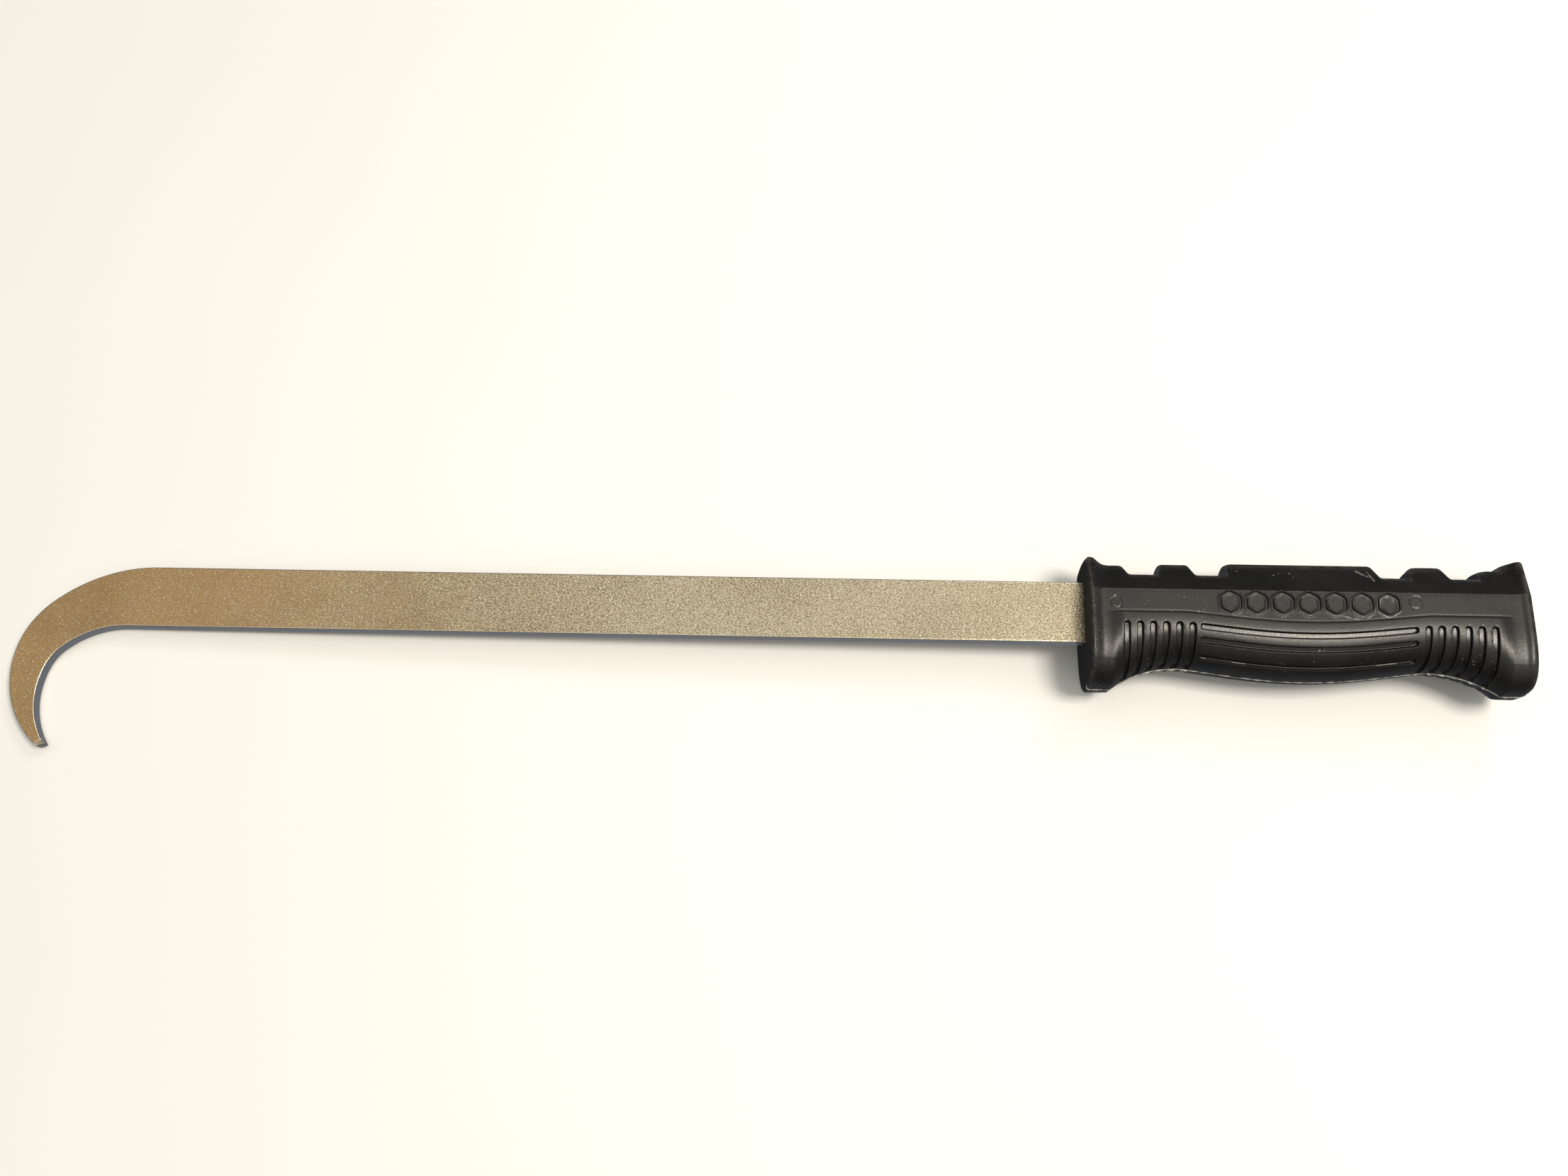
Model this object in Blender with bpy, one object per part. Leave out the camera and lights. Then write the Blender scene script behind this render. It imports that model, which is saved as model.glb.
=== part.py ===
"""A hive tool: a flat steel hook bar whose straight end is moulded into a grip.

Lengths are metres. While a piece is drawn, X runs from the grip's front face towards its pommel,
Y runs from the bar's centreline towards the grip's spine, and Z runs out of the bar's wide face.
The finished tool is then moved so that the origin lies under the middle of its box.
"""

import math

import bpy
from mathutils import Vector

# Steel bar, from flat stock.
BAR_WIDTH = 0.020
BAR_THICKNESS = 0.004
BAR_EDGE_BEVEL = 0.0004
SHANK_LENGTH = 0.2979           # from the start of the hook's curve to the grip's front face
TANG_LENGTH = 0.112             # inside the grip
TANG_CORNER = 0.004
KEY_HOLE_RADIUS = 0.0035        # the grip's moulding runs through these and locks it on
KEY_HOLE_PLACES = (0.030, 0.090)

# Hook, seen from above: each edge is a run of arcs, as (radius, degrees turned), from shank to tip.
OUTER_BENDS = ((0.050, 41), (0.028, 49), (0.033, 52))
INNER_BENDS = ((0.030, 42), (0.0133, 28), (0.027, 57))
INNER_START = 0.0076            # the inner curve starts this far beyond the outer one
BEND_STEP = 4.5                 # degrees between the points on an arc

# Grip, length by spine and finger side.
GRIP_LENGTH = 0.135
SIDE = 0.0132                   # half of its thickness at the flat sides
COLLAR_FLARE = 0.0012           # the extra half thickness at each end
FLARE_RUN = 0.0045
SHOULDER_Y = 0.0043             # where the flat side turns in towards the spine
SPINE_SLOPE = 0.74              # how fast the spine narrows above the shoulder
COLLAR_SLOPE = 0.42
SPINE_EDGE = 0.0008
SPINE_CROWN = 0.0009            # how much the spine rises to its middle

# Spine: raised blocks, steep towards the hook and ramped towards the pommel, with notches between.
FRONT_PEAK = 0.0163
REAR_PEAK = 0.0170
PEAK_RUN = 0.0030
PEAK_SLOPE_RUN = 0.0038
END_HEIGHT = 0.0148             # of the spine beside each peak
NOTCH_HEIGHT = 0.0109
FIRST_NOTCH = 0.0115            # where the spine beside the front peak ends
LAST_NOTCH_END = 0.1219
BLOCKS = (                      # start, end, height and the run and rise of the lean at the wall's top
    (0.0224, 0.0323, 0.0155, 0.0015, 0.0040),
    (0.0442, 0.0896, 0.0162, 0.0017, 0.0009),
    (0.1009, 0.1111, 0.0159, 0.0026, 0.0025),
)
END_LEAN_RUN = 0.0028
END_LEAN_RISE = 0.0013
BLOCK_WALL = 0.0003             # run of the upright part of a wall
BLOCK_RAMP = 0.0017

# Finger side: a deep collar at each end, two waists and a belly between them.
COLLAR_DEPTH = 0.0246
WAIST_DEPTH = 0.0175
BELLY_DEPTH = 0.0036
FRONT_COLLAR = 0.007
FRONT_WAIST = 0.029
REAR_WAIST = 0.104
REAR_COLLAR = 0.127
COLLAR_BLEND = 0.0035
FOLD_Y = 0.0036                 # the crease where the padded finger side begins, below the centreline
FOLD_BELLY = 0.0027
PAD_RISE = 0.0006
FOLD_RUN = 0.0006
PAD_ROUNDNESS = 2.6             # superellipse powers of the section's lower half
COLLAR_ROUNDNESS = 3.8
FRONT_ROUNDING = 0.0010
POMMEL_ROUNDING = 0.0030
POMMEL_DEPTH_SHARE = 0.4        # the pommel's finger side is rounded less than its flat sides

# Grooves in the pad, and a row of plain cells on each flat side.
GROOVE_WIDTH = 0.0019
GROOVE_DEPTH = 0.0010
GROOVE_CLEAR = 0.0015
CROSS_COUNT = 6
CROSS_PITCH = 0.0040
FRONT_CROSS_X = 0.0109
REAR_CROSS_X = 0.1022
CROSS_TOP = 0.0027              # from the crease down to the grooves' upper ends
LONG_START = 0.0333
LONG_END = 0.0991
LONG_DROPS = (0.257, 0.545, 0.86)    # as shares of the pad's depth
CELL_COUNT = 7
CELL_PITCH = 0.0080
CELL_RADIUS = 0.0041
CELL_STROKE = 0.0009
CELL_DEPTH = 0.0004
CELL_ROW_X = 0.0668
CELL_ROW_Y = 0.0004

FIT_GAP = 0.0003                # kept between the steel and the moulding
STATION_STEP = 0.0035
STATION_APART = 0.0009
PAD_STEPS = 10

STEEL = ("steel", (0.42, 0.36, 0.27), 0.38, 1.0)
MOULDING = ("black_moulding", (0.030, 0.030, 0.029), 0.48, 0.0)


def make_material(name, colour, roughness, metallic):
    material = bpy.data.materials.new(name)
    material.use_nodes = True
    shader = material.node_tree.nodes["Principled BSDF"]
    shader.inputs["Base Color"].default_value = (*colour, 1.0)
    shader.inputs["Roughness"].default_value = roughness
    shader.inputs["Metallic"].default_value = metallic
    return material


def make_object(name, points, faces):
    mesh = bpy.data.meshes.new(name)
    mesh.from_pydata([tuple(point) for point in points], [], faces)
    mesh.validate()
    made = bpy.data.objects.new(name, mesh)
    bpy.context.scene.collection.objects.link(made)
    return made


def skin(rings):
    """Points and faces of the closed solid whose cross-sections are the given rings."""
    points = [point for ring in rings for point in ring]
    around = len(rings[0])
    faces = [tuple(range(around))[::-1]]
    for low in range(0, len(points) - around, around):
        for here in range(around):
            after = (here + 1) % around
            faces.append((low + here, low + after, low + around + after, low + around + here))
    faces.append(tuple(range(len(points) - around, len(points))))
    return points, faces


def join(solids):
    """Points and faces of several separate solids as one mesh."""
    points = []
    faces = []
    for solid_points, solid_faces in solids:
        base = len(points)
        points.extend(solid_points)
        faces.extend(tuple(base + corner for corner in face) for face in solid_faces)
    return points, faces


def make_cutter(name, solids):
    cutter = make_object(name, *join(solids))
    cutter.hide_render = True
    cutter.display_type = "WIRE"
    return cutter


def cut(target, cutter):
    boolean = target.modifiers.new(cutter.name, "BOOLEAN")
    boolean.operation = "DIFFERENCE"
    boolean.solver = "EXACT"
    boolean.object = cutter


def bends(start, runs):
    """Points along a run of arcs that leaves start towards -X and always turns towards -Y."""
    place = Vector(start)
    heading = 0.0
    points = [tuple(place)]
    for radius, turn in runs:
        steps = math.ceil(turn / BEND_STEP)
        half_step = math.radians(turn / steps) / 2
        chord = 2 * radius * math.sin(half_step)
        for _ in range(steps):
            heading += half_step
            place = place + chord * Vector((-math.cos(heading), -math.sin(heading)))
            heading += half_step
            points.append(tuple(place))
    return points


def prism(outline, low, high):
    """The solid between two heights with the given outline, which runs anticlockwise from above."""
    return skin([[(x, y, height) for x, y in outline] for height in (low, high)])


def cylinder(centre, radius, half_height, sides=24):
    angles = [2 * math.pi * side / sides for side in range(sides)]
    outline = [(centre[0] + radius * math.cos(a), centre[1] + radius * math.sin(a)) for a in angles]
    return prism(outline, -half_height, half_height)


def hook_outline():
    """The hook's outer edge down to the tip, then its inner edge back to the shank."""
    half = BAR_WIDTH / 2
    outer = bends((-SHANK_LENGTH, half), OUTER_BENDS)
    inner = bends((-SHANK_LENGTH - INNER_START, -half), INNER_BENDS)
    return outer + inner[::-1]


def tang_outline():
    """The tang's lower edge, its end with cut corners, and its upper edge."""
    half = BAR_WIDTH / 2
    return [
        (TANG_LENGTH - TANG_CORNER, -half),
        (TANG_LENGTH, -half + TANG_CORNER),
        (TANG_LENGTH, half - TANG_CORNER),
        (TANG_LENGTH - TANG_CORNER, half),
    ]


def make_hook_bar():
    half = BAR_THICKNESS / 2
    bar = make_object("hook_bar", *prism(hook_outline() + tang_outline(), -half, half))
    bevel = bar.modifiers.new("edges", "BEVEL")
    bevel.width = BAR_EDGE_BEVEL
    bevel.segments = 1
    bevel.limit_method = "ANGLE"
    bevel.angle_limit = math.radians(70)
    holes = [cylinder((place, 0.0), KEY_HOLE_RADIUS, BAR_THICKNESS) for place in KEY_HOLE_PLACES]
    cut(bar, make_cutter("key_holes", holes))
    return bar


def ease(x, start, end):
    """Goes smoothly from 0 at start to 1 at end."""
    part = min(max((x - start) / (end - start), 0.0), 1.0)
    return part * part * (3 - 2 * part)


def belly(x):
    """0 up to the front waist and beyond the rear one, 1 at the fullest point between them."""
    part = min(max((x - FRONT_WAIST) / (REAR_WAIST - FRONT_WAIST), 0.0), 1.0)
    return math.sin(math.pi * part) ** 1.15


def collar(x):
    """1 at either end collar and 0 between them."""
    front = 1 - ease(x, FRONT_COLLAR - COLLAR_BLEND / 2, FRONT_COLLAR + COLLAR_BLEND)
    return front + ease(x, REAR_COLLAR - COLLAR_BLEND, REAR_COLLAR + COLLAR_BLEND / 2)


def finger_depth(x):
    """How far the finger side lies below the bar's centreline."""
    if x < FRONT_WAIST:
        part = min((FRONT_WAIST - x) / (FRONT_WAIST - FRONT_COLLAR), 1.0)
        return WAIST_DEPTH + (COLLAR_DEPTH - WAIST_DEPTH) * part**2.3
    if x > REAR_WAIST:
        part = min((x - REAR_WAIST) / (REAR_COLLAR - REAR_WAIST), 1.0)
        return WAIST_DEPTH + (COLLAR_DEPTH - WAIST_DEPTH) * part**2.2
    return WAIST_DEPTH + BELLY_DEPTH * belly(x)


def spine_profile():
    """The spine's outline from the front face to the pommel, as (x, height) corners."""
    corners = [(0.0, FRONT_PEAK), (PEAK_RUN, FRONT_PEAK)]
    corners += [(PEAK_RUN + PEAK_SLOPE_RUN, END_HEIGHT), (FIRST_NOTCH, END_HEIGHT)]
    corners.append((FIRST_NOTCH + BLOCK_RAMP, NOTCH_HEIGHT))
    for start, end, height, lean_run, lean_rise in BLOCKS:
        corners += [(start, NOTCH_HEIGHT), (start + BLOCK_WALL, height - lean_rise)]
        corners += [(start + lean_run, height), (end, height), (end + BLOCK_RAMP, NOTCH_HEIGHT)]
    corners += [(LAST_NOTCH_END, NOTCH_HEIGHT), (LAST_NOTCH_END + BLOCK_WALL, END_HEIGHT - END_LEAN_RISE)]
    corners.append((LAST_NOTCH_END + END_LEAN_RUN, END_HEIGHT))
    corners.append((GRIP_LENGTH - PEAK_RUN - PEAK_SLOPE_RUN, END_HEIGHT))
    corners += [(GRIP_LENGTH - PEAK_RUN, REAR_PEAK), (GRIP_LENGTH, REAR_PEAK)]
    return corners


def spine_height(x):
    corners = spine_profile()
    for (low_x, low), (high_x, high) in zip(corners, corners[1:]):
        if x <= high_x:
            return low + (high - low) * (x - low_x) / (high_x - low_x)
    return corners[-1][1]


def quarter_round(distance, radius):
    """How much a rounded edge takes off at a distance from the end."""
    if distance >= radius:
        return 0.0
    return radius - math.sqrt(radius**2 - (radius - distance) ** 2)


def lower_half(x):
    """The pad's section at x: its middle line, its half height and half thickness, and its roundness."""
    front = quarter_round(x, FRONT_ROUNDING)
    rear = quarter_round(GRIP_LENGTH - x, POMMEL_ROUNDING)
    fold = -FOLD_Y - FOLD_BELLY * belly(x)
    bottom = -finger_depth(x) + front + POMMEL_DEPTH_SHARE * rear
    flare = max(1 - ease(x, 0.0, FLARE_RUN), ease(x, GRIP_LENGTH - FLARE_RUN, GRIP_LENGTH))
    side = SIDE + COLLAR_FLARE * flare - front - rear
    pad = side + PAD_RISE * (1 - collar(x))
    power = PAD_ROUNDNESS + (COLLAR_ROUNDNESS - PAD_ROUNDNESS) * collar(x)
    return fold, fold - bottom, side, pad, power


def pad_point(x, angle, lift=0.0):
    """A point on the padded lower half, by its angle down from the flat side, raised by lift."""
    fold, depth, _, pad, power = lower_half(x)
    down = abs(math.sin(angle)) ** (2 / power)
    out = abs(math.cos(angle)) ** (2 / power)
    normal = Vector((-(down ** (power - 1)) / depth, out ** (power - 1) / pad)).normalized()
    return Vector((fold - depth * down, pad * out)) + lift * normal


def half_section(x):
    """The grip's section at x as (y, z), from the spine's middle round to the finger side's middle."""
    fold, _, side, _, _ = lower_half(x)
    rear = quarter_round(GRIP_LENGTH - x, POMMEL_ROUNDING)
    top = spine_height(x) - quarter_round(x, FRONT_ROUNDING) - POMMEL_DEPTH_SHARE * rear
    near_end = max(1 - ease(x, PEAK_RUN / 2, 2 * PEAK_RUN), ease(x, GRIP_LENGTH - 2 * PEAK_RUN, GRIP_LENGTH))
    slope = SPINE_SLOPE + (COLLAR_SLOPE - SPINE_SLOPE) * near_end
    edge = side - slope * (top - SPINE_EDGE - SHOULDER_Y)
    upper = [
        (top + SPINE_CROWN, 0.0),
        (top, edge - (1 + slope) * SPINE_EDGE),
        (top - SPINE_EDGE, edge),
        (SHOULDER_Y, side),
        (fold + FOLD_RUN, side),
    ]
    return upper + [tuple(pad_point(x, math.pi / 2 * step / PAD_STEPS)) for step in range(PAD_STEPS + 1)]


def section_ring(x):
    half = half_section(x)
    near = [(x, y, z) for y, z in half[:-1]]
    far = [(x, y, -z) for y, z in reversed(half)]
    return near + far[:-1]


def stations():
    """Where along the grip a section is drawn: at every corner of the spine, and evenly between them."""
    fixed = [corner[0] for corner in spine_profile()]
    fixed += [FRONT_ROUNDING * share for share in (0.15, 0.5, 1.0)]
    fixed += [GRIP_LENGTH - POMMEL_ROUNDING * share for share in (0.04, 0.2, 0.5)]
    fixed += [FRONT_COLLAR, FRONT_COLLAR + COLLAR_BLEND, REAR_COLLAR, REAR_COLLAR - COLLAR_BLEND]
    count = round(GRIP_LENGTH / STATION_STEP)
    even = [GRIP_LENGTH * step / count for step in range(1, count)]
    spaced = [x for x in even if min(abs(x - other) for other in fixed) > STATION_APART]
    return sorted(set(fixed) | set(spaced))


def groove_shares():
    """How full a groove is on its way from one rounded end to the other, as (place, width) shares."""
    return ((0.0, 0.35), (0.13, 0.75), (0.5, 1.0))


def cross_groove(x):
    """A groove that runs across the pad at x, from one flat side round to the other."""
    depth = lower_half(x)[1]
    top = math.asin((CROSS_TOP / depth) ** (PAD_ROUNDNESS / 2))
    end = (GROOVE_WIDTH / depth) * 1.6
    angles = [(top + end * place, width) for place, width in groove_shares()]
    steps = 9
    angles += [(top + end + (math.pi / 2 - top - end) * step / steps, 1.0) for step in range(steps + 1)]
    rings = []
    for angle, width in angles:
        half = width * GROOVE_WIDTH / 2
        low = pad_point(x, angle, -GROOVE_DEPTH)
        high = pad_point(x, angle, GROOVE_CLEAR)
        rings.append([(x - half, *low), (x + half, *low), (x + half, *high), (x - half, *high)])
    far = [[(px, py, -pz) for px, py, pz in ring] for ring in reversed(rings[:-1])]
    return skin(rings + far)


def long_groove(drop, face):
    """A groove along the belly, at its share of the pad's depth, on the side that face (1 or -1) is."""
    ends = [(GROOVE_WIDTH * place, width) for place, width in groove_shares()]
    steps = 12
    run = LONG_END - LONG_START - 2 * GROOVE_WIDTH
    places = [(LONG_START + away, width) for away, width in ends]
    places += [(LONG_START + GROOVE_WIDTH + run * step / steps, 1.0) for step in range(steps + 1)]
    places += [(LONG_END - away, width) for away, width in reversed(ends)]
    angle = math.asin(drop ** (PAD_ROUNDNESS / 2))
    rings = []
    for x, width in places:
        low = pad_point(x, angle, -GROOVE_DEPTH)
        high = pad_point(x, angle, GROOVE_CLEAR)
        normal = (high - low).normalized()
        aside = Vector((normal.y, -normal.x)) * width * GROOVE_WIDTH / 2
        corners = (low - aside, low + aside, high + aside, high - aside)
        ring = [(x, corner.x, face * corner.y) for corner in corners]
        rings.append(ring if face > 0 else list(reversed(ring)))
    return skin(rings)


def cell(x, y, face):
    """A shallow six-sided frame cut into the flat side that face (1 or -1) points to."""
    rings = []
    for radius, height in (
        (CELL_RADIUS, SIDE + GROOVE_CLEAR),
        (CELL_RADIUS, SIDE - CELL_DEPTH),
        (CELL_RADIUS - CELL_STROKE, SIDE - CELL_DEPTH),
        (CELL_RADIUS - CELL_STROKE, SIDE + GROOVE_CLEAR),
    ):
        angles = [math.pi / 3 * corner + math.pi / 6 for corner in range(6)]
        rings.append([(x + radius * math.cos(a), y + radius * math.sin(a), face * height) for a in angles])
    points = [point for ring in rings for point in ring]
    faces = []
    for level in range(4):
        for corner in range(6):
            after = (corner + 1) % 6
            low = 6 * level
            high = 6 * ((level + 1) % 4)
            quad = (low + corner, high + corner, high + after, low + after)
            faces.append(quad if face > 0 else quad[::-1])
    return points, faces


def make_socket():
    """The room for the tang, with a post left standing through each of its key holes."""
    half = BAR_WIDTH / 2 + FIT_GAP
    end = TANG_LENGTH + FIT_GAP
    corner = TANG_CORNER
    mouth = -0.010
    outline = [
        (mouth, half),
        (mouth, -half),
        (end - corner, -half),
        (end, -half + corner),
        (end, half - corner),
        (end - corner, half),
    ]
    height = BAR_THICKNESS / 2 + FIT_GAP
    socket = make_cutter("tang_room", [prism(outline, -height, height)])
    radius = KEY_HOLE_RADIUS - FIT_GAP
    posts = [cylinder((place, 0.0), radius, 2 * BAR_THICKNESS) for place in KEY_HOLE_PLACES]
    cut(socket, make_cutter("key_posts", posts))
    return socket


def make_grip():
    grip = make_object("grip", *skin([section_ring(x) for x in stations()]))
    cut(grip, make_socket())
    starts = (FRONT_CROSS_X, REAR_CROSS_X)
    crosses = [cross_groove(start + CROSS_PITCH * step) for start in starts for step in range(CROSS_COUNT)]
    lengthwise = [long_groove(drop, face) for drop in LONG_DROPS for face in (1, -1)]
    cut(grip, make_cutter("grooves", crosses + lengthwise))
    row_start = CELL_ROW_X - CELL_PITCH * (CELL_COUNT - 1) / 2
    places = [row_start + CELL_PITCH * step for step in range(CELL_COUNT)]
    cut(grip, make_cutter("cells", [cell(x, CELL_ROW_Y, face) for x in places for face in (1, -1)]))
    return grip


def finish(piece, material):
    piece.data.materials.append(make_material(*material))
    piece.data.shade_smooth()
    piece.data.set_sharp_from_angle(angle=math.radians(35))


def stand_at_origin(pieces):
    """Moves the whole tool so that the origin lies under the middle of its box."""
    centre = bpy.data.objects.new("tool_origin", None)
    bpy.context.scene.collection.objects.link(centre)
    for drawn in bpy.context.scene.objects:
        if drawn is not centre:
            drawn.parent = centre
    depsgraph = bpy.context.evaluated_depsgraph_get()
    corners = []
    for piece in pieces:
        evaluated = piece.evaluated_get(depsgraph)
        corners += [Vector(corner) for corner in evaluated.bound_box]
    low = Vector([min(corner[axis] for corner in corners) for axis in range(3)])
    high = Vector([max(corner[axis] for corner in corners) for axis in range(3)])
    centre.location = (-(low.x + high.x) / 2, -(low.y + high.y) / 2, -low.z)
    bpy.context.view_layer.update()


def main():
    for old in list(bpy.data.objects):
        bpy.data.objects.remove(old)
    bar = make_hook_bar()
    grip = make_grip()
    finish(bar, STEEL)
    finish(grip, MOULDING)
    stand_at_origin([bar, grip])


main()
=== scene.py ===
"""The hive tool as it looks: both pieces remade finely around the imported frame, and a plain studio.

Lengths are metres. Pieces are drawn in a drawing frame, in which X runs from the grip's front face
towards its pommel, Y from the bar's centreline towards the grip's spine, and Z out of the bar's wide
face. ORIGIN says where that frame's origin lies in the row frame.
"""

import math

import bpy
import numpy as np
from mathutils import Euler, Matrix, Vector


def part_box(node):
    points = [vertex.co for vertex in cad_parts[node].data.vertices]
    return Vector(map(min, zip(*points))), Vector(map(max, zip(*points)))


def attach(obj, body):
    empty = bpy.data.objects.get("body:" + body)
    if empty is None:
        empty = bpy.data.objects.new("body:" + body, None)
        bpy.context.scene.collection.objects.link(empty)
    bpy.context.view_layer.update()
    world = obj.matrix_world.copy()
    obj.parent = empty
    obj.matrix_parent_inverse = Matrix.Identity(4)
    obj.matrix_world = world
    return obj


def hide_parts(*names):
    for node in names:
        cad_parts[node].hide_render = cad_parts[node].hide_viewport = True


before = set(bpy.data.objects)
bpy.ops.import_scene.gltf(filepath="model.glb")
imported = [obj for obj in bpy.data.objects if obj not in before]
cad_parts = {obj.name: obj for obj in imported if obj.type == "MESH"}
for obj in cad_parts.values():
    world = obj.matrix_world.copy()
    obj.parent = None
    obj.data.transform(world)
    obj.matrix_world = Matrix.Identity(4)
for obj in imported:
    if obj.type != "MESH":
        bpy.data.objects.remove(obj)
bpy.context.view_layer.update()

MM = 0.001
grip_low, grip_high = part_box("grip")
bar_low, bar_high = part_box("hook_bar")

# Steel bar.
BAR_WIDTH = 20 * MM
BAR_HALF = (bar_high.z - bar_low.z) / 2
ORIGIN = Vector((grip_low.x, bar_high.y - BAR_WIDTH / 2, (bar_high.z + bar_low.z) / 2))
EDGE_RADIUS = 0.42 * MM
EDGE_STEPS = 3
WEAR_REACH = 0.08 * MM          # how far the bright worn edge runs onto a face
SHANK_LENGTH = 297.9 * MM       # from the start of the hook's curve to the grip's front face
TANG_LENGTH = bar_high.x - ORIGIN.x
TANG_CORNER = 4 * MM
KEY_HOLE_RADIUS = 3.5 * MM
KEY_HOLE_PLACES = (30 * MM, 90 * MM)
OUTER_BENDS = ((50 * MM, 41), (28 * MM, 49), (33 * MM, 52))      # radius and degrees turned
INNER_BENDS = ((30 * MM, 42), (13.3 * MM, 28), (27 * MM, 57))
INNER_START = 7.6 * MM
HOOK_STATIONS = 150
TIP_CROWDING = 1.2              # how much closer together the hook's stations are near its tip
SHANK_STATIONS = 24
FACET_LENGTH = 1.3 * MM         # the ground facet on the upper face at the tip
FACET_SLOPE = 0.85
FACET_SKEW = 0.35               # how much longer the facet gets on the way to the inner edge
STEPS_PER_DEGREE = 4            # along the hook's arcs
FACE_SHARES = (0.25, 0.5, 0.75)  # where a wide face has points between its edges
EDGE_LIMIT = 0.4                # the largest share of the width that an edge's rows may take
TIP_SHARE = 0.72                # size of the last ring at the rounded tip, and how far out it lies
TIP_RUN = 0.6 * EDGE_RADIUS

# Grip.
GRIP_LENGTH = grip_high.x - grip_low.x
SIDE = 13.2 * MM                # half of its thickness at the flat sides
COLLAR_FLARE = 1.2 * MM
FLARE_RUN = 4.5 * MM
SHOULDER_Y = 4.3 * MM
SHOULDER_REACH = 0.45 * MM
SPINE_SLOPE = 0.74
COLLAR_SLOPE = 0.42
SPINE_REACH = 1.1 * MM          # of the rounding along the spine's long edges
SPINE_CROWN = 0.9 * MM
CROWN_ROWS = 5                  # across each stretch of the section from the spine's middle down
EDGE_ROWS = 6
SLANT_ROWS = 5
SHOULDER_ROWS = 4
FLAT_ROWS = 4
EDGE_END_WEAR = 0.3             # where a spine edge's rounding begins and ends; 1 between
SHOULDER_WEAR = 0.3
FRONT_PEAK = 16.3 * MM
REAR_PEAK = 17.0 * MM
PEAK_RUN = 3.0 * MM
PEAK_SLOPE_RUN = 3.8 * MM
END_HEIGHT = 14.8 * MM
NOTCH_HEIGHT = 10.9 * MM
FIRST_NOTCH = 11.5 * MM
LAST_NOTCH_END = 121.9 * MM
BLOCKS = (                      # start, end, height and the run and rise of the lean at the wall's top
    (22.4 * MM, 32.3 * MM, 15.5 * MM, 1.5 * MM, 4.0 * MM),
    (44.2 * MM, 89.6 * MM, 16.2 * MM, 1.7 * MM, 0.9 * MM),
    (100.9 * MM, 111.1 * MM, 15.9 * MM, 2.6 * MM, 2.5 * MM),
)
END_LEAN_RUN = 2.8 * MM
END_LEAN_RISE = 1.3 * MM
BLOCK_WALL = 0.12 * MM          # run of the upright part of a wall
BLOCK_RAMP = 1.7 * MM
WALL_REACH = 0.4 * MM           # of the rounding at a steep wall's corners
LEAN_REACH = 0.8 * MM
RAMP_REACH = 1.0 * MM

COLLAR_DEPTH = 24.6 * MM
WAIST_DEPTH = 17.5 * MM
BELLY_DEPTH = 3.6 * MM
FRONT_COLLAR = 7 * MM
FRONT_WAIST = 29 * MM
REAR_WAIST = 104 * MM
REAR_COLLAR = 127 * MM
COLLAR_BLEND = 3.5 * MM
FRONT_SWEEP = 2.3               # how late the finger side turns down towards each collar
REAR_SWEEP = 2.2
BELLY_SHARPNESS = 1.15
FOLD_Y = 3.6 * MM
FOLD_BELLY = 2.7 * MM
FOLD_RUN = 0.8 * MM
CREASE_DEPTH = 0.08 * MM
ABOVE_FOLD = (                  # distances above the fold, and shares of the crease's depth there
    (0.8 * MM, 0.0),
    (0.35 * MM, 0.0),
    (0.15 * MM, 0.6),
    (0.0, 1.0),
)
BELOW_FOLD = (                  # shares of the fold's run, of the crease's depth and of the pad's rise
    (0.3, 0.5, 0.35),
    (0.55, 0.0, 0.72),
    (0.8, 0.0, 0.92),
)
CREASE_DIRT_AND_SHADE = (0.6, 1.0, 1.0, 0.7, 0.2)      # how dirty the last five of those rows are, and how much painted shade they get
PAD_RISE = 0.6 * MM
PAD_ROUNDNESS = 2.35
COLLAR_ROUNDNESS = 3.1
PAD_TOP_ROWS = np.array([0.0, 0.2, 0.45, 0.8, 1.25, 1.8]) * MM              # from the fold down
PAD_END_ROWS = np.array([1.6, 1.1, 0.75, 0.5, 0.32, 0.18, 0.08, 0.0]) * MM  # above the parting line
PAD_CURVE_STEPS = 240
FRONT_ROUNDING = 1.0 * MM
POMMEL_ROUNDING = 3.0 * MM
FRONT_RINGS = 7                 # sections drawn on each end's rounding
POMMEL_RINGS = 9
POMMEL_DEPTH_SHARE = 0.4        # how much of the end's rounding the spine and the finger side get
POMMEL_SQUARING = 0.17          # how much steeper the spine's slant is at the end face

# Grooves in the pad and the row of cells on each flat side.
GROOVE_WIDTH = 1.9 * MM
GROOVE_DEPTH = 1.0 * MM
GROOVE_WALL = 0.42 * MM
GROOVE_LIP = 0.16 * MM
GROOVE_FOOT_ROWS = (-0.06 * MM, 0.08 * MM, 0.22 * MM)    # outwards from the foot of a groove's wall
GROOVE_TOP_ROWS = (-0.05 * MM, 0.1 * MM, 0.3 * MM)       # outwards from a groove's outline
GROOVE_FADE = (0.15 * MM, 2.4 * MM)                      # heights above the parting line
GROOVE_WEAR = 0.2               # most where a groove is GROOVE_WEAR_AT of its depth
GROOVE_WEAR_AT = 0.05
GROOVE_WEAR_REACH = 0.12
GROOVE_BEGINS = 0.001
CROSS_COUNT = 6
CROSS_PITCH = 4.0 * MM
CROSS_STARTS = (10.9 * MM, 102.2 * MM)
CROSS_TOP = 2.7 * MM
LONG_START = 33.3 * MM
LONG_END = 99.1 * MM
LONG_DROPS = (0.257, 0.545, 0.86)
LONG_PAD_DEPTH = 14.8 * MM      # of the pad at the belly, where the long grooves lie
CELL_COUNT = 7
CELL_PITCH = 8.0 * MM
CELL_RADIUS = 3.15 * MM         # from a cell's middle to the middle of a side's stroke
CELL_STROKE = 0.8 * MM
CELL_DEPTH = 0.4 * MM
CELL_LIP = 0.38 * MM            # how far the raised lip reaches beyond the stroke
CELL_LIP_HEIGHT = 0.16 * MM
CELL_ROW_X = 66.8 * MM
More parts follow.
